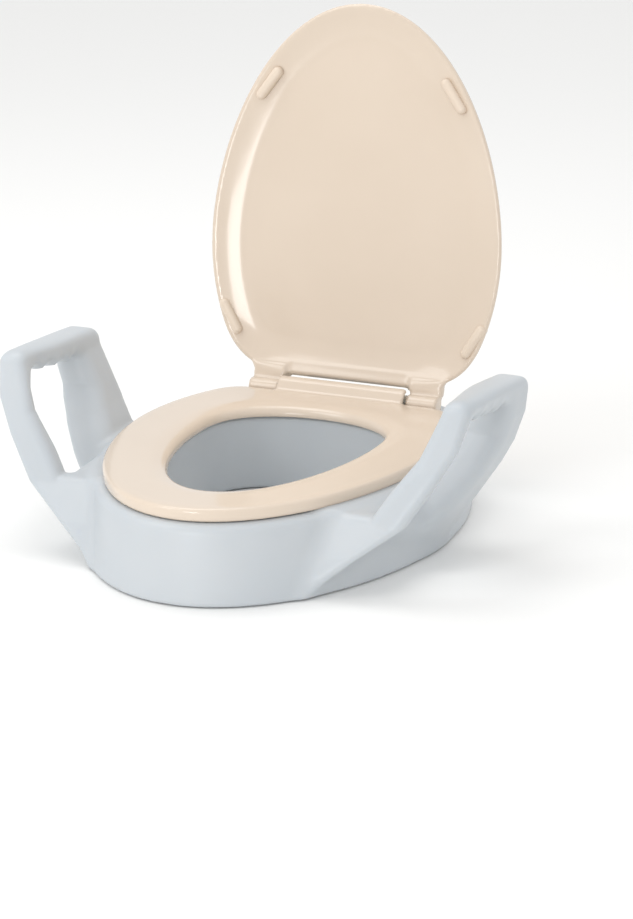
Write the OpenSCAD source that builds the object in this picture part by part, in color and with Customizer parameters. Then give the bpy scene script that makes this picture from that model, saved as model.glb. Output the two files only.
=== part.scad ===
// Raised toilet seat: a hollow moulded riser with two moulded arm loops, a hinged seat ring and lid
// on two hinge posts, and the long bolts that clamp it all to a bowl.
// Millimetres. +Z is up and the user faces -Y. The origin lies on the bowl's rim plane, midway
// between the two mounting bolts. The seat ring is down and the lid is open.

/* [Riser] */
// Height from the bowl's rim to the riser's deck
rise = 88; // [80:1:100]
// Half the deck's width at its widest
deck_half_w = 189; // [187:1:191]
// How much wider the foot is than the deck, on each side
foot_flare = 11; // [8:1:13]
// Thickness of the moulded skin
skin = 3.5; // [3:0.5:4.5]

/* [Arms] */
// Height of the grip's front end above the deck
grip_rise = 122; // [116:1:128]
// Drop of the grip from its front end to its rear end
grip_drop = 14; // [10:1:20]
// Angle that each arm toes out towards the rear
toe_out = 3; // [2:0.5:4]

/* [Seat and lid] */
// Half the seat ring's width at its widest
seat_half_w = 181; // [178:1:183]
// Height of the seat ring's side wall
ring_h = 14.5; // [14:0.5:15]
// Gap between deck and ring, which the seat bumpers fill
seat_gap = 3; // [2.5:0.5:3]
// Angle that the open lid leans back past upright
lid_lean = 6.4; // [3:0.1:7]

/* [Bolts] */
// Distance between the two mounting bolts
bolt_spacing = 139.7; // [139.2:0.1:140.2]
// Diameter of the mounting bolts
bolt_d = 9.5; // [8:0.5:10]
// Thickness of china that the bolts clamp
china = 24; // [18:1:30]

/* [Hidden] */

WHITE = [0.84, 0.87, 0.89];
BONE = [0.93, 0.86, 0.77];
NYLON = [0.90, 0.89, 0.85];
RUBBER = [0.30, 0.30, 0.31];

STEPS = 80;                     // points round an egg outline
FINE = 48;                      // facet setting of round parts
eps = 0.01;
play = 0.05;                    // radial clearance of a running pin

foot_z = 1.5;                   // underside of the riser, held up by the pads
bolt_x = bolt_spacing / 2;

// Hinge axis, in front of the bolts and above the deck
axis_y = -20;
axis_z = rise + 11.5;
pin_r = 5;
pin_in = 47;                    // inner end of each hinge pin
pin_out = 112;
ring_ear = [49, 61];            // x range of the ring's ear on one side
post_ear = [61.6, 78.4];
lid_ear = [81, 119];
ring_ear_r = 10.5;
post_ear_r = 9.5;
lid_ear_r = 11;
saddle_r = 18;                  // outer radius of the ring's tongue over the hinge
saddle_skin = 4.5;
saddle_end = 94;                // angle where the tongue ends, so that it clears the bolt caps when raised
tongue_x = 80;

ring_z = rise + seat_gap;
ring_top = ring_z + ring_h;
ring_wall = 4.5;
ring_rear = -32.8;              // rear edge, clear of the lid's knuckles

lid_z = ring_top + 4;           // height of the closed lid's rim
lid_rear = -38;
closed = 90 + lid_lean;         // angle from the open lid to the closed one

// Outlines as [half width, y of the widest place, y of the tip, length of the full rear half,
// y of the rear cut, reach of the rounding at the rear corners]
RING = [seat_half_w, -192, -479, 238, ring_rear, 30];
LID = [seat_half_w + 1, -197, -476, 232, lid_rear, 60];
HOLE = [107, -190, -403, 101, 60, 30];
tip_power = 1.8;                // below 2, so that the front is slimmer than an ellipse
hole_power = 3;                 // above 2, so that the hole's rear is squarer than an ellipse

// ---------- outlines ----------

// The lesser of a and b, blended where they differ by less than the reach
function soft_min(a, b, reach) =
    let (h = max(reach - abs(a - b), 0) / reach) min(a, b) - h * h * reach / 4;

// An egg outline, grown outwards by g and cut off square at the rear
function egg(o, g = 0, rear_power = 2) = [
    for (i = [0 : STEPS - 1])
        let (
            a = 360 * i / STEPS,
            s = sin(a),
            full = s > 0
                ? o[1] + (o[3] + g) * pow(s, 2 / rear_power)
                : o[1] - (o[1] - o[2] + g) * pow(-s, 2 / tip_power)
        )
        [(o[0] + g) * cos(a), soft_min(full, o[4] + g, o[5])]
];

function hole(g = 0) = egg(HOLE, g, hole_power);

function arc(cx, cy, r, a0, a1, n) = [
    for (i = [0 : n]) let (a = a0 + (a1 - a0) * i / n) [cx + r * cos(a), cy + r * sin(a)]
];

// A convex shell form: one thin slice for each [z, growth] pair, joined
module sliced(outline, slices) {
    hull() for (s = slices) translate([0, 0, s[0]]) linear_extrude(eps) polygon(egg(outline, s[1]));
}

module hole_cut(g, z0, z1) {
    translate([0, 0, z0]) linear_extrude(z1 - z0) polygon(hole(g));
}

// ---------- small helpers ----------

module left() { mirror([1, 0, 0]) children(); }

// A cylinder along X from x0 to x1, centred on [y, z]
module rod_x(r, x, y, z) {
    translate([x[0], y, z]) rotate([0, 90, 0]) cylinder(r = r, h = x[1] - x[0], $fn = FINE);
}

module hinge_rod(r, x) { rod_x(r, x, axis_y, axis_z); }

module block(x, y, z) {
    translate([x[0], y[0], z[0]]) cube([x[1] - x[0], y[1] - y[0], z[1] - z[0]]);
}

// A flat bar with round ends
module stadium(length, width, h) {
    for (x = [-1, 1]) translate([x * (length - width) / 2, 0, 0]) cylinder(d = width, h = h, $fn = FINE);
    translate([-(length - width) / 2, -width / 2, 0]) cube([length - width, width, h]);
}

// ---------- riser ----------

edge_r = 9;                     // rounding of the deck's outer edge
riser_rear = 40;
RISER = [deck_half_w, -200, -485, 290, riser_rear, 30];

module riser_form(g, bottom, top) {
    sliced(RISER, [
        [bottom, foot_flare + g],
        [top - edge_r, g],
        [top - 0.3 * edge_r, g - 0.25 * edge_r],
        [top - eps, g - edge_r]
    ]);
}

tube_wall = 4;
bolt_hole_r = bolt_d / 2 + 0.8;

module riser_ring() {
    color(WHITE) difference() {
        riser_form(0, foot_z, rise);
        hole_cut(6, 0, rise + 1);
        difference() {
            riser_form(-skin, foot_z + skin, rise - skin);
            hole_cut(6 + skin, 0, rise);
            riser_tubes();
        }
        bolt_holes(rise);
        foot_pad_recesses();
    }
}

module bolt_holes(top) {
    for (side = [-1, 1]) translate([side * bolt_x, 0, -1]) cylinder(r = bolt_hole_r, h = top + 2, $fn = FINE);
}

// Moulded pillars: two round the bolts and four that carry the deck at its sides
module riser_tubes() {
    for (side = [-1, 1]) {
        translate([side * bolt_x, 0, 0]) cylinder(r = bolt_hole_r + tube_wall, h = rise, $fn = FINE);
        translate([side * 148, -270, 0]) cylinder(r = 14, h = rise, $fn = FINE);
        translate([side * 152, -130, 0]) cylinder(r = 14, h = rise, $fn = FINE);
    }
}

pad_front = [146, -318, 65];    // x, y and turn of a front pad
pad_side = [163, -150, 92];
pad_size = [70, 18];
rear_pad_size = [190, 30];      // the rear pad lies round both bolts
pad_depth = 1.2;                // how deep a pad is let into the foot

module at(p) { translate([p[0], p[1], 0]) rotate(p[2]) children(); }

module foot_pad(p) {
    color(RUBBER) at(p) stadium(pad_size[0], pad_size[1], foot_z + pad_depth);
}

module foot_pad_rear() {
    color(RUBBER) difference() {
        stadium(rear_pad_size[0], rear_pad_size[1], foot_z + pad_depth);
        bolt_holes(foot_z + pad_depth);
    }
}

module foot_pad_recesses() {
    for (side = [0, 1], p = [pad_front, pad_side])
        mirror([side, 0, 0]) at(p) stadium(pad_size[0], pad_size[1], foot_z + pad_depth);
    stadium(rear_pad_size[0], rear_pad_size[1], foot_z + pad_depth);
}

module foot_pad_front_left() { left() foot_pad(pad_front); }
module foot_pad_front_right() { foot_pad(pad_front); }
module foot_pad_side_left() { left() foot_pad(pad_side); }
module foot_pad_side_right() { foot_pad(pad_side); }

// ---------- arms ----------

grip_front_x = [245, 276];      // inner and outer side of the grip at its front end
grip_rear_x = [234, 273];       // the same at its rear end, before the arm is toed out
grip_top = rise + grip_rise;
grip_front = -348;
grip_rear = -164;
leg_split = -342;               // y between the front leg and the rest of the loop

// The grip's rounded top, seen from the front
function grip_round(x, r = 15) = concat(
    arc(x[1] - r, grip_top - r, r, 0, 90, 6),
    arc(x[0] + r, grip_top - r, r, 90, 180, 6)
);

// Front view of the front leg, which rises from the foot and bends up to the grip
function front_leg() = concat(
    [[110, foot_z], [128, foot_z], [174, 41], [221, 77], [250, 123], [270, 160]],
    grip_round(grip_front_x),
    [[228, 148], [202, 112], [186, rise - 2], [110, rise - 2]]
);

// Front view of the rear leg, whose foot stands further out
function rear_leg() = concat(
    [[120, foot_z], [186, foot_z], [193, 12], [223, 59], [247, 98], [259, 123], [270, 157]],
    grip_round(grip_rear_x),
    [[232, 177], [217, 146], [203, 117], [188, 92], [180, rise - 2], [120, rise - 2]]
);

// Side view of the whole loop, from its front foot over the grip to its rear foot
function loop_side() = concat(
    [[-436, 0], [-416, 45], [-394, 80], [-378, 126], [-362, 162]],
    arc(grip_front + 18, grip_top - 18, 18, 170, 90, 5),
    arc(grip_rear - 16, grip_top - grip_drop - 16, 16, 84, 0, 5),
    [[-168, 120], [-182, 74], [-196, 30], [-204, 0]]
);

// Side view of the opening between the legs: a hand hole with four finger dips along its top,
// which runs on down to the foot as a valley outside the riser
dip_pitch = 27;
function loop_opening() = concat(
    [[-396, -1], [-384, 25], [-366, 60], [-352, 100], [-344, 135], [-335, 165]],
    [for (i = [0 : 3]) each arc(-313 + dip_pitch * i, grip_top - 45 - 3 * i, 18, 130, 50, 4)],
    [[-222, 140], [-240, 112], [-262, 85], [-290, 50], [-325, -1]]
);

// A polygon, shrunk by the inset
module inset_polygon(points, inset) {
    if (inset == 0) polygon(points);
    else offset(delta = -inset) polygon(points);
}

module side_extrude(points, inset) {
    translate([100, 0, 0]) rotate([90, 0, 90]) linear_extrude(200) inset_polygon(points, inset);
}

module front_extrude(points, y0, y1, inset) {
    translate([0, y1, 0]) rotate([90, 0, 0]) linear_extrude(y1 - y0) inset_polygon(points, inset);
}

// The loop's form, or with an inset the hollow inside it
module arm_form(inset) {
    difference() {
        intersection() {
            side_extrude(loop_side(), inset);
            union() {
                front_extrude(front_leg(), -450, leg_split - inset, inset);
                front_extrude(rear_leg(), leg_split + inset, -140, inset);
            }
        }
        side_extrude(loop_opening(), -inset);
    }
}

module toed_out() {
    translate([grip_front_x[0], grip_front, 0]) rotate(-toe_out) translate([-grip_front_x[0], -grip_front, 0]) children();
}

module arm() {
    color(WHITE) difference() {
        toed_out() difference() {
            arm_form(0);
            arm_form(skin);
        }
        riser_form(0.1, foot_z, rise);
        block([0, 400], [-500, 0], [-50, foot_z + eps]);
    }
}

module arm_right() { arm(); }
module arm_left() { left() arm(); }

// ---------- seat ring ----------

// x, y and turn of the bumpers under the ring
seat_bumper_front = [104, -387, 54];
seat_bumper_rear = [143, -100, 108];
seat_bumper_size = [38, 10];
bumper_let_in = 3;              // how deep a bumper's peg sits in its boss

module seat_bumper_form(z0, z1, extra = 0) {
    translate([0, 0, z0]) stadium(seat_bumper_size[0] + 2 * extra, seat_bumper_size[1] + 2 * extra, z1 - z0);
}

module seat_bumper(p) {
    color(BONE) at(p) seat_bumper_form(rise + 0.3, ring_z + bumper_let_in);
}

module seat_bumper_places() {
    for (side = [0, 1], p = [seat_bumper_front, seat_bumper_rear]) mirror([side, 0, 0]) at(p) children();
}

module ring_outside() {
    sliced(RING, [[ring_z, -1], [ring_top - 5, 0], [ring_top - 1.5, -2], [ring_top - eps, -6]]);
}

module ring_pocket() {
    difference() {
        translate([0, 0, ring_z - 1]) linear_extrude(ring_h - ring_wall + 1) polygon(egg(RING, -ring_wall));
        hole_cut(ring_wall, 0, ring_top);
        seat_bumper_places() seat_bumper_form(ring_z, ring_top, 2.5);
        for (x = [-60 : 40 : 60]) block([x - 1.5, x + 1.5], [-100, ring_rear], [ring_z + 2, ring_top]);
        for (side = [-1, 1], y = [-320 : 60 : -140]) translate([side * 144, y, ring_z + 2])
            translate([-50, -1.5, 0]) cube([100, 3, ring_h]);
    }
}

// Side view of the tongue: the ring's top rises back over the hinge, and a hollow arc leaves room for it
function tongue_side() = concat(
    [[-60, ring_z], [-60, ring_top - 1], [-46, ring_top - 0.1], [-41, ring_top + 0.7], [-38, ring_top + 2.1]],
    arc(axis_y, axis_z, saddle_r, 126, saddle_end, 6),
    arc(axis_y, axis_z, saddle_r - saddle_skin, saddle_end, 180, 10),
    [[axis_y - saddle_r + saddle_skin, ring_z]]
);

module tongue() {
    translate([-tongue_x, 0, 0]) rotate([90, 0, 90]) linear_extrude(2 * tongue_x) polygon(tongue_side());
}

module seat_ring() {
    color(BONE) difference() {
        union() {
            difference() {
                ring_outside();
                ring_pocket();
            }
            tongue();
            for (side = [-1, 1]) hinge_side(side) ring_ear_form();
        }
        hole_cut(0, 0, ring_top + 1);
        hinge_rod(pin_r + play, [-pin_out, pin_out]);
        seat_bumper_places() seat_bumper_form(0, ring_z + bumper_let_in);
    }
}

module hinge_side(side) { mirror([side < 0 ? 1 : 0, 0, 0]) children(); }

module ring_ear_form() {
    hinge_rod(ring_ear_r, ring_ear);
    block(ring_ear, [axis_y - saddle_r + 2, axis_y], [axis_z - 6, axis_z]);
    block(ring_ear, [axis_y - 8, axis_y - 2], [axis_z, axis_z + saddle_r - 2]);
}

module seat_bumper_front_left() { left() seat_bumper(seat_bumper_front); }
module seat_bumper_front_right() { seat_bumper(seat_bumper_front); }
module seat_bumper_rear_left() { left() seat_bumper(seat_bumper_rear); }
module seat_bumper_rear_right() { seat_bumper(seat_bumper_rear); }

// ---------- lid, drawn closed and then turned open about the hinge ----------

lid_bumper_front = [115, -378, 54.3];
lid_bumper_rear = [154, -99, 121];
lid_bumper_size = [46, 12];

module opened() {
    translate([0, axis_y, axis_z]) rotate([-closed, 0, 0]) translate([0, -axis_y, -axis_z]) children();
}

module lid_bumper_form(z0, z1, extra = 0) {
    translate([0, 0, z0]) stadium(lid_bumper_size[0] + 2 * extra, lid_bumper_size[1] + 2 * extra, z1 - z0);
}

module lid_bumper(p) {
    color(BONE) opened() at(p) lid_bumper_form(ring_top + 0.3, lid_z + 3);
}

module lid_bumper_places() {
    for (side = [0, 1], p = [lid_bumper_front, lid_bumper_rear]) mirror([side, 0, 0]) at(p) children();
}

module lid_outside() {
    sliced(LID, [
        [lid_z, -1], [lid_z + 6, 0], [lid_z + 9.5, -3],
        [lid_z + 11, -8], [lid_z + 13.5, -45], [lid_z + 14.5, -90]
    ]);
}

module lid_dish() {
    sliced(LID, [[lid_z - 1, -8], [lid_z + 3, -10], [lid_z + 6, -16], [lid_z + 7.5, -26], [lid_z + 9.5, -60]]);
}

module lid() {
    color(BONE) opened() difference() {
        union() {
            difference() {
                union() {
                    lid_outside();
                    block([-lip_x, lip_x], lip_y, lip_z);
                }
                lid_dish();
            }
            intersection() {
                lid_outside();
                lid_bumper_places() lid_bumper_form(lid_z, lid_z + 12, 3);
            }
            for (side = [-1, 1]) hinge_side(side) lid_ear_form();
        }
        hinge_rod(pin_r + play, [-pin_out - 0.5, pin_out + 0.5]);
        lid_bumper_places() lid_bumper_form(0, lid_z + 3);
    }
}

// A lip along the lid's rear edge, which covers the tongue when the lid is closed
lip_x = 118;
lip_y = [lid_rear - 14, axis_y - 14];
lip_z = [axis_z + 12.8, axis_z + 15.6];

module lid_ear_form() {
    tab_z = [ring_top + 0.9, ring_top + 5.9];
    hinge_rod(lid_ear_r, lid_ear);
    block(lid_ear, [lid_rear - 8, axis_y], tab_z);
    block(lid_ear, [axis_y - 12.2, axis_y], [axis_z, tab_z[1]]);
    block(lid_ear, [lid_rear - 8, lid_rear + 2], [tab_z[0], lid_z + 7]);
}

module lid_bumper_front_left() { left() lid_bumper(lid_bumper_front); }
module lid_bumper_front_right() { lid_bumper(lid_bumper_front); }
module lid_bumper_rear_left() { left() lid_bumper(lid_bumper_rear); }
module lid_bumper_rear_right() { lid_bumper(lid_bumper_rear); }

// ---------- hinge posts, caps and bolts, drawn on the right ----------

gasket_t = 1.5;
plate_z = [rise + gasket_t, rise + gasket_t + 4];
plate_y = [-29, 15];
cap_axis_y = 11.5;
cap_axis_z = plate_z[1] + 3.1;
cap_pin_r = 1.5;
cap_ear_r = 2.8;
cap_x = [bolt_x - 10, bolt_x + 10];
cap_lug_x = [bolt_x - 4, bolt_x + 4];
cap_top = plate_z[1] + 5;
cap_skin = 1.5;
head_r = 7.5;
head_h = 3;

module hinge_post() {
    color(NYLON) difference() {
        union() {
            hinge_rod(post_ear_r, post_ear);
            block(post_ear, plate_y, plate_z);
            block(post_ear, [axis_y - post_ear_r, axis_y + post_ear_r], [plate_z[0], axis_z]);
            rod_x(cap_ear_r, cap_lug_x, cap_axis_y, cap_axis_z);
            block(cap_lug_x, [cap_axis_y - 2, cap_axis_y + cap_ear_r], [plate_z[0], cap_axis_z]);
        }
        hinge_rod(pin_r, [pin_in, pin_out]);
        rod_x(cap_pin_r, [cap_x[0] - 1, cap_x[1] + 1], cap_axis_y, cap_axis_z);
        translate([bolt_x, 0, rise]) cylinder(d = bolt_d + 0.1, h = 20, $fn = FINE);
    }
}

module hinge_pin() {
    color(NYLON) {
        hinge_rod(pin_r, [pin_in, pin_out]);
        hinge_rod(pin_r + 2, [pin_in - 3, ring_ear[0] - 0.5]);
    }
}

module cap_pin() {
    color(NYLON) rod_x(cap_pin_r, [cap_x[0] + 0.5, cap_x[1] - 0.5], cap_axis_y, cap_axis_z);
}

module bolt_cap() {
    y = [-head_r - 0.8, cap_axis_y];
    z0 = plate_z[1] + 0.3;
    color(NYLON) difference() {
        union() {
            block(cap_x, y, [z0, cap_top]);
            rod_x(cap_ear_r, cap_x, cap_axis_y, cap_axis_z);
        }
        block([cap_x[0] + cap_skin, cap_x[1] - cap_skin], [y[0] + 0.5, -y[0]], [0, cap_top - cap_skin]);
        block([cap_lug_x[0] - 0.4, cap_lug_x[1] + 0.4], [cap_axis_y - 3.5, 20], [0, cap_top + 9]);
        rod_x(cap_pin_r + play, [cap_x[0] - 1, cap_x[1] + 1], cap_axis_y, cap_axis_z);
    }
}

module deck_gasket() {
    color(RUBBER) difference() {
        block([post_ear[0] + 0.5, post_ear[1] - 0.5], [plate_y[0] + 0.5, plate_y[1] - 0.5], [rise, rise + gasket_t]);
        translate([bolt_x, 0, rise - 1]) cylinder(d = bolt_d + 1, h = 9, $fn = FINE);
    }
}

nut_top = -china - 6;           // where the wing nut meets the cone washer
nut_h = 13;
thread_left = 14;               // bolt that stands out below the nut

module bolt() {
    low = nut_top - nut_h - thread_left;
    color(NYLON) translate([bolt_x, 0, 0]) difference() {
        union() {
            translate([0, 0, low]) cylinder(d = bolt_d, h = plate_z[1] - low + 1, $fn = FINE);
            translate([0, 0, plate_z[1]]) cylinder(r = head_r, h = head_h, $fn = FINE);
        }
        translate([-head_r, -0.8, plate_z[1] + head_h - 1.6]) cube([2 * head_r, 1.6, 3]);
    }
}

module cone_washer() {
    color(RUBBER) translate([bolt_x, 0, 0]) difference() {
        rotate_extrude($fn = FINE) polygon([
            [0, nut_top], [14, nut_top], [14, nut_top + 3], [9, -china], [6.6, -china + 4], [0, -china + 4]
        ]);
        translate([0, 0, nut_top - 1]) cylinder(d = bolt_d + 2 * play, h = 20, $fn = FINE);
    }
}

// A hub with two swept wings
module wing_nut() {
    wing = [[6, 0], [20, 3], [24, 8], [22, 15], [16, 16], [9, 11], [6, 11]];
    color(NYLON) translate([bolt_x, 0, nut_top - 0.3]) mirror([0, 0, 1]) difference() {
        union() {
            cylinder(r = 9.5, h = nut_h, $fn = FINE);
            cylinder(r = 12, h = 2.5, $fn = FINE);
            for (turn = [0, 180]) rotate([0, 0, turn + 35]) translate([0, 2, 0]) rotate([90, 0, 0])
                linear_extrude(4) polygon(wing);
        }
        translate([0, 0, -1]) cylinder(d = bolt_d + 2 * play, h = 20, $fn = FINE);
    }
}

module hinge_post_left() { left() hinge_post(); }
module hinge_post_right() { hinge_post(); }
module hinge_pin_left() { left() hinge_pin(); }
module hinge_pin_right() { hinge_pin(); }
module bolt_cap_left() { left() bolt_cap(); }
module bolt_cap_right() { bolt_cap(); }
module cap_pin_left() { left() cap_pin(); }
module cap_pin_right() { cap_pin(); }
module deck_gasket_left() { left() deck_gasket(); }
module deck_gasket_right() { deck_gasket(); }
module bolt_left() { left() bolt(); }
module bolt_right() { bolt(); }
module cone_washer_left() { left() cone_washer(); }
module cone_washer_right() { cone_washer(); }
module wing_nut_left() { left() wing_nut(); }
module wing_nut_right() { wing_nut(); }

riser_ring();
arm_left();
arm_right();
foot_pad_front_left();
foot_pad_front_right();
foot_pad_side_left();
foot_pad_side_right();
foot_pad_rear();
seat_ring();
seat_bumper_front_left();
seat_bumper_front_right();
seat_bumper_rear_left();
seat_bumper_rear_right();
lid();
lid_bumper_front_left();
lid_bumper_front_right();
lid_bumper_rear_left();
lid_bumper_rear_right();
hinge_post_left();
hinge_post_right();
hinge_pin_left();
hinge_pin_right();
bolt_cap_left();
bolt_cap_right();
cap_pin_left();
cap_pin_right();
deck_gasket_left();
deck_gasket_right();
bolt_left();
bolt_right();
cone_washer_left();
cone_washer_right();
wing_nut_left();
wing_nut_right();
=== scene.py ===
"""Raised toilet seat with moulded arms: the looks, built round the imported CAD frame. Metres, row frame."""

import math

import bpy
import numpy as np
from mathutils import Matrix, Vector


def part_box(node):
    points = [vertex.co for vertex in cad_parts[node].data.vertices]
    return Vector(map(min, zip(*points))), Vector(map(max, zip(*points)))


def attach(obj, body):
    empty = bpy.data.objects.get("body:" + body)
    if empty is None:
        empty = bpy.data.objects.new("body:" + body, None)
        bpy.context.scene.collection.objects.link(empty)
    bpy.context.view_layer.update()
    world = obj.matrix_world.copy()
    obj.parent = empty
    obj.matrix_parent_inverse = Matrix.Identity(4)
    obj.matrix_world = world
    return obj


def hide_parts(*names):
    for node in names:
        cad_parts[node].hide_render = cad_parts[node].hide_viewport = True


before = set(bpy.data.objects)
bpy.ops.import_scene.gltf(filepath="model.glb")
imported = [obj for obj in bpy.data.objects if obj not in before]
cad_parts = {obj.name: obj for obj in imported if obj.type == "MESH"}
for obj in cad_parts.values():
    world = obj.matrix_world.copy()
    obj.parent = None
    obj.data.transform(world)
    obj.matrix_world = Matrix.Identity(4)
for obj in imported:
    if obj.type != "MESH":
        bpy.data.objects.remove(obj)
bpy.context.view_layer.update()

MM = 0.001

# ---------- driving sizes, in millimetres, worked out from the frame ----------


def box_mm(node):
    low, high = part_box(node)
    return np.array(low) / MM, np.array(high) / MM


ring_low, ring_high = box_mm("seat_ring")
gasket_low, _ = box_mm("deck_gasket_right")
pin_low, pin_high = box_mm("hinge_pin_right")
riser_low, riser_high = box_mm("riser_ring")
_, grip_high = box_mm("arm_right")
bolt_low, bolt_high = box_mm("bolt_right")

DECK = gasket_low[2]
FOOT = riser_low[2]
AXIS_Y = (pin_low[1] + pin_high[1]) / 2
AXIS_Z = (pin_low[2] + pin_high[2]) / 2
BOLT_X = (bolt_low[0] + bolt_high[0]) / 2
RING_Z = ring_low[2]
RING_H = 14.5
RING_TOP = RING_Z + RING_H
LID_GAP = 4.0
LID_Z = RING_TOP + LID_GAP
CLOSED = math.radians(96.4)  # turn from the open lid to the closed one
TONGUE_R = 18.0
TONGUE_SKIN = 4.5
TONGUE_X = 80.0
TONGUE_END = 94.0
LID_EAR = (81.0, 119.0)

# ---------- outlines ----------

# half width, y of the widest place, y of the tip, length of the full rear half,
# y of the rear cut, corner reach
RING = (ring_high[0], -192, ring_low[1], 238, -32.8, 30)
LID = (ring_high[0] + 1, -197, ring_low[1] + 3, 232, -38, 60)
HOLE = (107, -190, -403, 101, 60, 30)
DECK_HALF_W = 189.0
FLARE = riser_high[0] - DECK_HALF_W
RISER = (DECK_HALF_W, -200, -485, 290, riser_high[1] - FLARE, 30)
TIP_POWER = 1.8


def soft_min(a, b, reach):
    h = np.maximum(reach - np.abs(a - b), 0) / reach
    return np.minimum(a, b) - h * h * reach / 4


def soft_max(a, b, reach):
    return -soft_min(-a, -b, reach)


def egg(outline, grow=0.0, rear_power=2.0, count=360):
    """Points round an egg outline that is cut off square at the rear."""
    half, middle, tip, rear, cut, reach = outline
    a = np.arange(count) * 2 * math.pi / count
    s = np.sin(a)
    front_y = middle - (middle - tip + grow) * np.abs(s) ** (2 / TIP_POWER)
    rear_y = middle + (rear + grow) * np.abs(s) ** (2 / rear_power)
    y = soft_min(np.where(s > 0, rear_y, front_y), cut + grow, reach)
    return np.stack([(half + grow) * np.cos(a), y], 1)


def arc(cy, cz, r, a0, a1, count):
    a = np.radians(np.linspace(a0, a1, count))
    return [(cy + r * math.cos(t), cz + r * math.sin(t)) for t in a]


# ---------- distance fields ----------


def polygon_distance(points, polygon):
    """Signed distance from 2-D points to a polygon, negative inside."""
    a = np.asarray(polygon, float)
    b = np.roll(a, -1, 0)
    best = np.full(len(points), 1e9)
    inside = np.zeros(len(points), bool)
    for p, q in zip(a, b):
        edge = q - p
        length2 = edge @ edge
        if length2 < 1e-9:
            continue
        rel = points - p
        t = np.clip(rel @ edge / length2, 0, 1)
        off = rel - t[:, None] * edge
        best = np.minimum(best, np.einsum("ij,ij->i", off, off))
        crosses = (p[1] > points[:, 1]) != (q[1] > points[:, 1])
        if edge[1] != 0:
            x_at = p[0] + (points[:, 1] - p[1]) * edge[0] / edge[1]
            inside ^= crosses & (points[:, 0] < x_at)
    return np.where(inside, -1, 1) * np.sqrt(best)


class Field:
    """A polygon's signed distance, sampled on a grid and read back by bilinear interpolation."""

    def __init__(self, polygon, step=1.0, margin=45.0):
        polygon = np.asarray(polygon, float)
        self.step = step
        self.low = polygon.min(0) - margin
        size = np.ceil((polygon.max(0) + margin - self.low) / step).astype(int) + 1
        self.top = size - 1.001
        gx, gy = np.meshgrid(*[self.low[i] + step * np.arange(size[i]) for i in (0, 1)], indexing="ij")
        points = np.stack([gx.ravel(), gy.ravel()], 1)
        self.grid = polygon_distance(points, polygon).reshape(size)

    def __call__(self, u, v):
        fu = np.clip((u - self.low[0]) / self.step, 0, self.top[0])
        fv = np.clip((v - self.low[1]) / self.step, 0, self.top[1])
        iu, iv = fu.astype(int), fv.astype(int)
        du, dv = fu - iu, fv - iv
        g = self.grid
        return (
            g[iu, iv] * (1 - du) * (1 - dv)
            + g[iu + 1, iv] * du * (1 - dv)
            + g[iu, iv + 1] * (1 - du) * dv
            + g[iu + 1, iv + 1] * du * dv
        )


def slope(f, p, e=0.05):
    """The gradient of f at points p."""
    out = np.empty_like(p)
    for i in range(3):
        d = np.zeros(3)
        d[i] = e
        out[:, i] = (f(p + d) - f(p - d)) / (2 * e)
    return out


def pull_to_surface(f, p, rounds=3):
    for _ in range(rounds):
        g = slope(f, p)
        size2 = np.maximum(np.einsum("ij,ij->i", g, g), 0.05)
        p = p - (np.clip(f(p), -2, 2) / size2)[:, None] * g
    return p


def surface_net(f, low, high, step):
    """The zero surface of f: a point in each crossed cell, a quad over each crossed edge."""
    low = np.asarray(low, float)
    count = np.ceil((np.asarray(high) - low) / step).astype(int) + 1
    axes = [low[i] + step * np.arange(count[i]) for i in range(3)]
    values = np.empty(count)
    for i, x in enumerate(axes[0]):
        gy, gz = np.meshgrid(axes[1], axes[2], indexing="ij")
        p = np.stack([np.full(gy.size, x), gy.ravel(), gz.ravel()], 1)
        values[i] = f(p).reshape(gy.shape)
    neg = values < 0
    cells = tuple(c - 1 for c in count)
    total, hits = np.zeros((*cells, 3)), np.zeros(cells)
    offsets = [(i, j, k) for i in (0, 1) for j in (0, 1) for k in (0, 1)]
    for a in offsets:
        for axis in range(3):
            if a[axis]:
                continue
            b = list(a)
            b[axis] = 1
            va = values[tuple(slice(a[i], a[i] + cells[i]) for i in range(3))]
            vb = values[tuple(slice(b[i], b[i] + cells[i]) for i in range(3))]
            cross = (va < 0) != (vb < 0)
            t = np.where(cross, va / np.where(cross, va - vb, 1), 0)
            for i in range(3):
                total[..., i] += np.where(cross, a[i] + (t if i == axis else 0), 0)
            hits += cross
    used = hits > 0
    index = np.full(cells, -1)
    index[used] = np.arange(used.sum())
    where = np.stack(np.nonzero(used), 1)
    points = low + step * (where + total[used] / hits[used][:, None])
    quads = []
    for axis in range(3):
        u, v = (axis + 1) % 3, (axis + 2) % 3
        first = [slice(None)] * 3
        second = [slice(None)] * 3
        first[axis], second[axis] = slice(0, -1), slice(1, None)
        for s in (u, v):
            first[s] = second[s] = slice(1, -1)
        a, b = neg[tuple(first)], neg[tuple(second)]
        ids = np.stack(np.nonzero(a != b), 1)
        flip = a[a != b]
        ids[:, u] += 1
        ids[:, v] += 1
        corners = []
        for du, dv in ((1, 1), (0, 1), (0, 0), (1, 0)):
            c = ids.copy()
            c[:, u] -= du
            c[:, v] -= dv
            corners.append(index[tuple(c.T)])
        q = np.stack(corners, 1)
        q[~flip] = q[~flip][:, ::-1]
        quads.append(q)
    return points, np.concatenate(quads)


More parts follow.
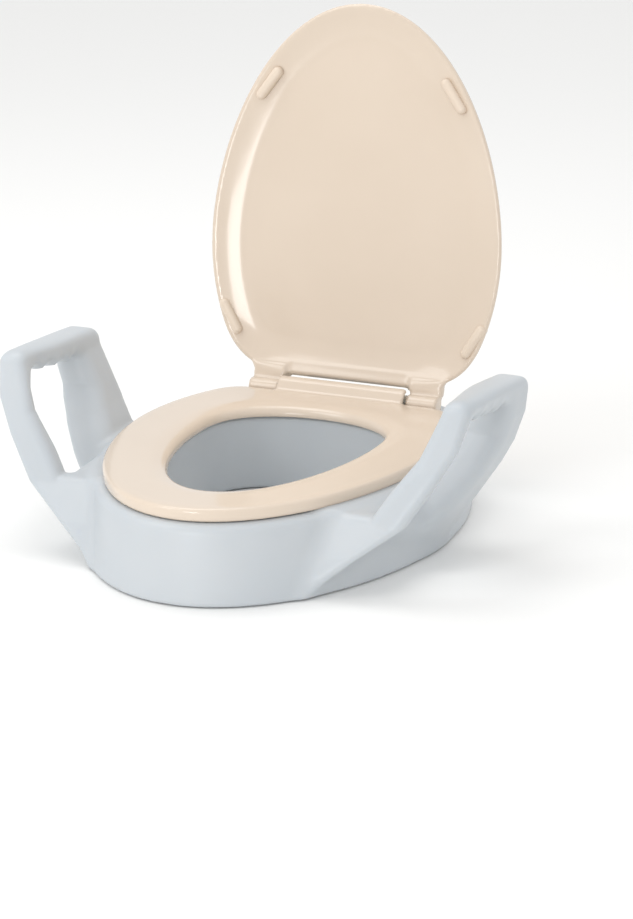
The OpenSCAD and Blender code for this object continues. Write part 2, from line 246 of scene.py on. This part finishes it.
def even_out(f, points, quads, rounds):
    """Slides points along the surface towards their neighbours' mean, then back on to the surface."""
    a = np.concatenate([quads[:, [0, 1]], quads[:, [1, 2]], quads[:, [2, 3]], quads[:, [3, 0]]])
    for _ in range(rounds):
        total = np.zeros_like(points)
        number = np.zeros(len(points))
        for i, j in ((0, 1), (1, 0)):
            np.add.at(total, a[:, i], points[a[:, j]])
            np.add.at(number, a[:, i], 1)
        move = total / number[:, None] - points
        g = slope(f, points)
        g /= np.maximum(np.linalg.norm(g, axis=1, keepdims=True), 1e-6)
        move -= np.einsum("ij,ij->i", move, g)[:, None] * g
        points = pull_to_surface(f, points + 0.5 * move, 1)
    return pull_to_surface(f, points, 2)


# ---------- mesh helpers ----------


def piece(name, points, faces, body, material, nodes):
    """A mesh object, from points in millimetres."""
    mesh = bpy.data.meshes.new(name)
    mesh.from_pydata((np.asarray(points) * MM).tolist(), [], [list(map(int, q)) for q in faces])
    mesh.polygons.foreach_set("use_smooth", [True] * len(mesh.polygons))
    mesh.update()
    obj = bpy.data.objects.new(name, mesh)
    bpy.context.scene.collection.objects.link(obj)
    mesh.materials.append(material)
    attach(obj, body)
    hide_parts(*nodes)
    return obj


def as_drawn(points):
    return points


def opened(points):
    """Points of the closed lid, turned to the open lid."""
    p = np.array(points, float)
    y, z = p[:, 1] - AXIS_Y, p[:, 2] - AXIS_Z
    c, s = math.cos(-CLOSED), math.sin(-CLOSED)
    p[:, 1], p[:, 2] = AXIS_Y + c * y - s * z, AXIS_Z + s * y + c * z
    return p


# ---------- materials ----------

PLASTIC_IOR = 1.5


def new_material(name):
    mat = bpy.data.materials.new(name)
    mat.use_nodes = True
    nodes, links = mat.node_tree.nodes, mat.node_tree.links
    return mat, nodes, links, nodes["Principled BSDF"]


def moulded_plastic(name, light, dark, rough, grain, grain_depth, coat=0.0, subsurface=0.0):
    """Moulded plastic: a slow tint drift, a patchy gloss and a fine moulded grain."""
    mat, nodes, links, shader = new_material(name)
    place = nodes.new("ShaderNodeTexCoord")
    drift = nodes.new("ShaderNodeTexNoise")
    drift.inputs["Scale"].default_value = 7.0
    drift.inputs["Detail"].default_value = 3.0
    tint = nodes.new("ShaderNodeValToRGB")
    tint.color_ramp.elements[0].position = 0.3
    tint.color_ramp.elements[0].color = (*dark, 1)
    tint.color_ramp.elements[1].position = 0.7
    tint.color_ramp.elements[1].color = (*light, 1)
    links.new(place.outputs["Object"], drift.inputs["Vector"])
    links.new(drift.outputs["Fac"], tint.inputs["Fac"])
    links.new(tint.outputs["Color"], shader.inputs["Base Color"])
    wear = nodes.new("ShaderNodeTexNoise")
    wear.inputs["Scale"].default_value = 22.0
    wear.inputs["Detail"].default_value = 6.0
    gloss = nodes.new("ShaderNodeMapRange")
    gloss.inputs["To Min"].default_value = rough * 0.85
    gloss.inputs["To Max"].default_value = rough * 1.2
    links.new(place.outputs["Object"], wear.inputs["Vector"])
    links.new(wear.outputs["Fac"], gloss.inputs["Value"])
    links.new(gloss.outputs["Result"], shader.inputs["Roughness"])
    fine = nodes.new("ShaderNodeTexNoise")
    fine.inputs["Scale"].default_value = grain
    fine.inputs["Detail"].default_value = 2.0
    bump = nodes.new("ShaderNodeBump")
    bump.inputs["Strength"].default_value = 0.35
    bump.inputs["Distance"].default_value = grain_depth * MM
    links.new(place.outputs["Object"], fine.inputs["Vector"])
    links.new(fine.outputs["Fac"], bump.inputs["Height"])
    links.new(bump.outputs["Normal"], shader.inputs["Normal"])
    shader.inputs["IOR"].default_value = PLASTIC_IOR
    shader.inputs["Coat Weight"].default_value = coat
    shader.inputs["Coat Roughness"].default_value = 0.06
    shader.inputs["Subsurface Weight"].default_value = subsurface
    shader.inputs["Subsurface Radius"].default_value = (0.010, 0.012, 0.014)
    shader.inputs["Subsurface Scale"].default_value = 1.0
    return mat


RISER_PLASTIC = moulded_plastic(
    "riser_polyethylene", (0.545, 0.575, 0.60), (0.51, 0.545, 0.575), 0.40, 420, 0.05, subsurface=0.25
)
SEAT_PLASTIC = moulded_plastic(
    "seat_gloss_bone", (0.71, 0.60, 0.49), (0.69, 0.58, 0.47), 0.14, 300, 0.008, coat=0.35
)
BUMPER_PLASTIC = moulded_plastic("bumper_bone", (0.75, 0.64, 0.52), (0.72, 0.60, 0.49), 0.35, 500, 0.03)
NYLON = moulded_plastic("nylon", (0.80, 0.78, 0.72), (0.74, 0.72, 0.66), 0.38, 600, 0.03)
RUBBER = moulded_plastic("rubber", (0.055, 0.055, 0.06), (0.035, 0.035, 0.038), 0.7, 800, 0.08)

# ---------- riser and arms, one seamless moulding ----------

GRIP_FRONT_X = (245.0, 276.0)
GRIP_REAR_X = (234.0, 273.0)
GRIP_TOP = grip_high[2]
GRIP_FRONT = -348.0
GRIP_REAR = -164.0
GRIP_DROP = 14.0
TOE_OUT = math.radians(3)
BOLT_HOLE_R = 5.55


def grip_round(x, r=15.0):
    return arc(x[1] - r, GRIP_TOP - r, r, 0, 90, 9) + arc(x[0] + r, GRIP_TOP - r, r, 90, 180, 9)


def front_leg():
    outer = [(110, FOOT), (128, FOOT), (174, 41), (221, 77), (250, 123), (270, 160)]
    inner = [(228, 148), (202, 112), (186, DECK - 2), (110, DECK - 2)]
    return outer + grip_round(GRIP_FRONT_X) + inner


def rear_leg():
    outer = [(120, FOOT), (186, FOOT), (193, 12), (223, 59), (247, 98), (259, 123), (270, 157)]
    inner = [(232, 177), (217, 146), (203, 117), (188, 92), (180, DECK - 2), (120, DECK - 2)]
    return outer + grip_round(GRIP_REAR_X) + inner


def loop_side():
    front = [(-441, -12), (-416, 45), (-394, 80), (-378, 126), (-362, 162)]
    top = arc(GRIP_FRONT + 18, GRIP_TOP - 18, 18, 170, 90, 7)
    top += arc(GRIP_REAR - 16, GRIP_TOP - GRIP_DROP - 16, 16, 84, 0, 7)
    return front + top + [(-168, 120), (-182, 74), (-196, 30), (-208, -12)]


DIP_PITCH = 27.0


def loop_opening():
    front = [(-402, -12), (-384, 25), (-366, 60), (-352, 100), (-344, 135), (-335, 165)]
    dips = []
    for i in range(4):
        dips += arc(-313 + DIP_PITCH * i, GRIP_TOP - 45 - 3 * i, 18, 130, 50, 6)
    return front + dips + [(-222, 140), (-240, 112), (-262, 85), (-290, 50), (-332, -12)]


riser_field = Field(egg(RISER))
riser_hole_field = Field(egg(HOLE, 6, 3))
front_field = Field(front_leg())
rear_field = Field(rear_leg())
side_field = Field(loop_side())
opening_field = Field(loop_opening())


def riser_form(p):
    x, y, z = p[:, 0], p[:, 1], p[:, 2]
    flare = FLARE * (DECK - z) / (DECK - FOOT)
    body = soft_max(riser_field(x, y) - flare, z - DECK, 11)
    body = soft_max(body, -riser_hole_field(x, y), 6)
    dx, dy = np.abs(x) - GRIP_FRONT_X[0], y - GRIP_FRONT
    c, s = math.cos(TOE_OUT), math.sin(TOE_OUT)
    u, v = GRIP_FRONT_X[0] + c * dx - s * dy, GRIP_FRONT + s * dx + c * dy
    t = np.clip((v + 350) / 115, 0, 1)
    t = t * t * (3 - 2 * t)
    band = front_field(u, z) * (1 - t) + rear_field(u, z) * t
    loop = soft_max(side_field(v, z), band, 11)
    web = (48 * (u - 184) + 17 * (z - 90)) / math.hypot(48, 17)
    cut = soft_max(opening_field(v, z), -web, 12)
    loop = soft_max(loop, -cut, 20)
    body = soft_min(body, loop, 13)
    body = soft_max(body, FOOT - z, 3)
    return soft_max(body, BOLT_HOLE_R - np.hypot(np.abs(x) - BOLT_X, y), 1.5)


def moulded(name, form, low, high, step, rounds, turn, body, material, slot, nodes):
    points, quads = surface_net(form, low, high, step)
    points = even_out(form, points, quads, rounds)
    return piece(name, turn(points), quads, body, material, nodes)


STEP = 3.0
RISER_SPACE = ((-290, -505, -4), (290, riser_high[1] + 12, GRIP_TOP + 6))
moulded("riser_and_arms", riser_form, *RISER_SPACE, STEP, 3, as_drawn, "base",
        RISER_PLASTIC, "riser_plastic", ["riser_ring", "arm_left", "arm_right"])

# ---------- seat ring ----------

ring_field = Field(egg(RING))
hole_field = Field(egg(HOLE, 0, 3))


def tongue_side():
    front = [(-60, RING_Z), (-60, RING_TOP - 1), (-46, RING_TOP - 0.1)]
    front += [(-41, RING_TOP + 0.7), (-38, RING_TOP + 2.1)]
    over = arc(AXIS_Y, AXIS_Z, TONGUE_R, 126, TONGUE_END, 10)
    under = arc(AXIS_Y, AXIS_Z, TONGUE_R - TONGUE_SKIN, TONGUE_END, 180, 14)
    return front + over + under + [(AXIS_Y - TONGUE_R + TONGUE_SKIN, RING_Z)]


tongue_field = Field(tongue_side())
BORE_R = 5.05
EAR_X = (49.0, 61.0)
EAR_R = 10.5
RIB_HALF = 2.0
RING_WALL = 6.5
POCKET_DEPTH = 8.0


def ring_pocket(x, y, z, edge, hole):
    """The hollow under the ring, crossed by ribs."""
    pocket = np.maximum(np.maximum(edge + RING_WALL, RING_WALL - hole), z - RING_Z - POCKET_DEPTH)
    side_rib = np.abs((y + 320) % 60 - 30) - (30 - RIB_HALF)
    rear_rib = np.abs((x + 60) % 40 - 20) - (20 - RIB_HALF)
    return np.maximum(pocket, np.where(y > -110, rear_rib, side_rib))


def ring_form(p):
    x, y, z = p[:, 0], p[:, 1], p[:, 2]
    edge, hole = ring_field(x, y), hole_field(x, y)
    inner = np.clip(1 - hole / 26, 0, 1)
    outer = np.clip(1 + edge / 16, 0, 1)
    top = RING_TOP - 4.5 * inner ** 2 - 1.0 * outer ** 2
    ring = soft_max(z - top, edge + 0.05 * (RING_TOP - z), 4.5)
    ring = soft_max(ring, -hole, 8)
    ring = soft_max(ring, RING_Z - z, 2.5)
    ring = soft_max(ring, -ring_pocket(x, y, z, edge, hole), 1.5)
    tongue = soft_max(tongue_field(y, z), np.abs(x) - TONGUE_X, 1.2)
    from_axis = np.hypot(y - AXIS_Y, z - AXIS_Z)
    across = np.maximum(EAR_X[0] - np.abs(x), np.abs(x) - EAR_X[1])
    web_along = np.maximum(AXIS_Y - TONGUE_R + 2 - y, y - AXIS_Y + 2)
    web = np.maximum(web_along, np.maximum(AXIS_Z - 6 - z, z - AXIS_Z - 16))
    ear = soft_max(np.minimum(from_axis - EAR_R, web), across, 1)
    ear = np.maximum(ear, from_axis - TONGUE_R + 1)
    ring = soft_min(ring, np.minimum(tongue, ear), 1.5)
    return np.maximum(ring, BORE_R - from_axis)


RING_STEP = 2.5
RING_SPACE = ((-186, -484, RING_Z - 4), (186, -8, AXIS_Z + TONGUE_R + 4))
moulded("seat_ring_shell", ring_form, *RING_SPACE, RING_STEP, 3,
        as_drawn, "seat", SEAT_PLASTIC, "seat_plastic", ["seat_ring"])

# ---------- lid, formed closed and turned open ----------

lid_field = Field(egg(LID))
LID_CUT = LID[4]
LIP_X = LID_EAR[1] - 1
LIP_Y = AXIS_Y - 14
LIP_Z = AXIS_Z + 12.8
LIP_T = 2.8
LIP_REACH = 14.0


def tab_plate():
    """Side view of the closed lid's hinge tab, from the knuckle forward to the lid."""
    return [(AXIS_Y + 2, RING_TOP + 5.9), (-46, RING_TOP + 9), (-46, RING_TOP + 4), (-36, RING_TOP + 0.9),
            (AXIS_Y + 2, RING_TOP + 0.9)]


tab_field = Field(tab_plate())
KNUCKLE_R = 11.0
TAB_BLEND = 8.0


def lid_form(p):
    x, y, z = p[:, 0], p[:, 1], p[:, 2]
    edge = lid_field(x, y)
    depth = np.maximum(-edge, 0)
    dome = LID_Z + 11 + 3.5 * np.sqrt(np.minimum(depth / 90, 1))
    cove = np.sin(math.pi / 2 * np.clip((depth - 3.0) / 42, 0, 1))
    dish = LID_Z + 10.0 * cove
    lid = soft_max(z - dome, edge, 9)
    lid = soft_max(lid, dish - z, 2.5)
    ear = (LID_EAR[0] + LID_EAR[1]) / 2
    across = np.abs(np.abs(x) - ear) - (LID_EAR[1] - LID_EAR[0]) / 2
    from_axis = np.hypot(y - AXIS_Y, z - AXIS_Z)
    tab = soft_max(soft_min(tab_field(y, z), from_axis - KNUCKLE_R, 4), across, 1.5)
    lip = np.maximum(np.maximum(LID_CUT - LIP_REACH - y, y - LIP_Y), np.maximum(LIP_Z - z, z - LIP_Z - LIP_T))
    lip = soft_max(lip, np.abs(x) - LIP_X, 3)
    lid = soft_min(soft_min(lid, lip, 3), tab, TAB_BLEND)
    bore = np.maximum(from_axis - BORE_R, np.abs(x) - pin_high[0] - 0.5)
    return soft_max(lid, -bore, 0.5)


LID_STEP = 2.6
moulded("lid_shell", lid_form, (-187, -481, 84), (187, -5, LID_Z + 19), LID_STEP, 3, opened, "lid",
        SEAT_PLASTIC, "seat_plastic", ["lid"])

# ---------- bumpers with rounded feet ----------


def stadium(length, width, grow, count=10):
    """Points round a bar with round ends."""
    r = width / 2 + grow
    reach = (length - width) / 2
    return arc(reach, 0, r, -90, 90, count) + arc(-reach, 0, r, 90, 270, count)


def bumper(name, node, side, place, size, foot, top, body, turn):
    """A bar that stands on a rounded foot, closed by a fan at each end."""
    x0, y0, angle = place
    r = 0.42 * size[1]
    turns = np.radians([6, 20, 38, 56, 74, 90])
    levels = [(foot + r * (1 - math.cos(a)), r * (math.sin(a) - 1)) for a in turns]
    levels.append((top, 0.0))
    rings = [[(u, v, z) for u, v in stadium(*size, grow)] for z, grow in levels]
    count = len(rings[0])
    local = np.array([p for ring in rings for p in ring] + [(0, 0, foot), (0, 0, top)])
    c, s = math.cos(math.radians(angle)), math.sin(math.radians(angle))
    points = local.copy()
    points[:, 0] = side * (x0 + c * local[:, 0] - s * local[:, 1])
    points[:, 1] = y0 + s * local[:, 0] + c * local[:, 1]
    faces = []
    for k in range(len(rings) - 1):
        for i in range(count):
            j = (i + 1) % count
            faces.append((k * count + i, k * count + j, (k + 1) * count + j, (k + 1) * count + i))
    low, high, last = len(local) - 2, len(local) - 1, (len(rings) - 1) * count
    for i in range(count):
        j = (i + 1) % count
        faces.append((low, j, i))
        faces.append((high, last + i, last + j))
    if side < 0:
        faces = [f[::-1] for f in faces]
    piece(name, turn(points), faces, body, BUMPER_PLASTIC, [node])


SEAT_BUMPERS = {"front": (104, -387, 54), "rear": (143, -100, 108)}
LID_BUMPERS = {"front": (115, -378, 54.3), "rear": (154, -99, 121)}
for side_name, side in (("left", -1), ("right", 1)):
    for end, place in SEAT_BUMPERS.items():
        bumper(f"seat_pad_{end}_{side_name}", f"seat_bumper_{end}_{side_name}", side, place, (38, 10),
               DECK + 0.3, RING_Z + 9.5, "seat", as_drawn)
    for end, place in LID_BUMPERS.items():
        bumper(f"lid_pad_{end}_{side_name}", f"lid_bumper_{end}_{side_name}", side, place, (46, 12),
               RING_TOP + 0.3, LID_Z + 8.5, "lid", opened)

# ---------- materials and softened edges of the CAD nodes that stay ----------

THREAD_PITCH = 2.5 * MM


def threaded(material):
    """A copy of a material with the grooves of a screw thread along Z."""
    mat = material.copy()
    mat.name = "threaded_" + material.name
    nodes, links = mat.node_tree.nodes, mat.node_tree.links
    place = nodes.new("ShaderNodeTexCoord")
    grooves = nodes.new("ShaderNodeTexWave")
    grooves.wave_type = "BANDS"
    grooves.bands_direction = "Z"
    grooves.wave_profile = "TRI"
    grooves.inputs["Scale"].default_value = 2 * math.pi / 20 / THREAD_PITCH
    bump = nodes.new("ShaderNodeBump")
    bump.inputs["Strength"].default_value = 1.0
    bump.inputs["Distance"].default_value = 0.8 * MM
    links.new(place.outputs["Object"], grooves.inputs["Vector"])
    links.new(grooves.outputs["Fac"], bump.inputs["Height"])
    links.new(bump.outputs["Normal"], nodes["Principled BSDF"].inputs["Normal"])
    return mat


def paint(prefixes, material, edge=0.0):
    for name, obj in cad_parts.items():
        if not name.startswith(prefixes):
            continue
        obj.data.materials.clear()
        obj.data.materials.append(material)
        if edge:
            bevel = obj.modifiers.new("soft_edges", "BEVEL")
            bevel.width = edge * MM
            bevel.segments = 2
            bevel.limit_method = "ANGLE"
            bevel.angle_limit = math.radians(50)


paint(("hinge_post", "bolt_cap"), NYLON, 0.5)
paint(("hinge_pin", "cap_pin"), NYLON, 0.3)
paint("wing_nut", NYLON, 0.6)
paint(("bolt_left", "bolt_right"), threaded(NYLON), 0.4)
paint(("foot_pad", "deck_gasket", "cone_washer"), RUBBER, 0.3)

# ---------- camera, light and floor ----------

PHOTO_W, PHOTO_H = 633, 919
CAMERA_AT = Vector((1.2476, -2.9858, 1.0372))
AZIMUTH, ELEVATION, ROLL = math.radians(23.39), math.radians(17.52), math.radians(-0.18)
FOCAL_PX = 2850.1
SENSOR = 36.0


def add_camera():
    data = bpy.data.cameras.new("camera")
    data.sensor_width = SENSOR
    data.lens = FOCAL_PX * SENSOR / PHOTO_H
    data.clip_start, data.clip_end = 0.1, 50
    cam = bpy.data.objects.new("camera", data)
    look = Vector((-math.sin(AZIMUTH) * math.cos(ELEVATION), math.cos(AZIMUTH) * math.cos(ELEVATION),
                   -math.sin(ELEVATION)))
    right = Vector((math.cos(AZIMUTH), math.sin(AZIMUTH), 0))
    up = right.cross(look)
    c, s = math.cos(ROLL), math.sin(ROLL)
    right, up = c * right + s * up, c * up - s * right
    turn = Matrix((right, up, -look)).transposed()
    cam.matrix_world = Matrix.Translation(CAMERA_AT) @ turn.to_4x4()
    bpy.context.scene.collection.objects.link(cam)
    bpy.context.scene.camera = cam


def add_light(name, at, target, size, power):
    data = bpy.data.lights.new(name, "AREA")
    data.shape = "RECTANGLE"
    data.size, data.size_y = size
    data.energy = power
    obj = bpy.data.objects.new(name, data)
    obj.location = at
    obj.rotation_euler = (Vector(target) - Vector(at)).to_track_quat("-Z", "Y").to_euler()
    bpy.context.scene.collection.objects.link(obj)


def add_floor():
    mat, nodes, links, shader = new_material("studio_floor")
    shader.inputs["Base Color"].default_value = (0.92, 0.92, 0.91, 1)
    shader.inputs["Roughness"].default_value = 0.9
    half = 8.0
    corners = [(-half, -half, 0), (half, -half, 0), (half, half, 0), (-half, half, 0)]
    mesh = bpy.data.meshes.new("floor")
    mesh.from_pydata(corners, [], [(0, 1, 2, 3)])
    floor = bpy.data.objects.new("floor", mesh)
    mesh.materials.append(mat)
    bpy.context.scene.collection.objects.link(floor)


def add_world():
    world = bpy.data.worlds.new("studio")
    bpy.context.scene.world = world
    world.use_nodes = True
    world.node_tree.nodes["Background"].inputs["Color"].default_value = (1.0, 1.0, 1.0, 1)
    world.node_tree.nodes["Background"].inputs["Strength"].default_value = 0.9


bpy.context.scene.view_settings.view_transform = "Standard"
add_camera()
add_floor()
add_world()
MIDDLE = (0, -0.25, 0.2)
add_light("key", (-1.6, -2.2, 2.2), MIDDLE, (1.2, 1.6), 14)
add_light("front_softbox", (-0.05, -3.1, 0.40), (-0.05, 0, 0.40), (0.85, 0.74), 14)
add_light("top", (-0.6, 0.1, 2.4), MIDDLE, (1.6, 1.1), 14)
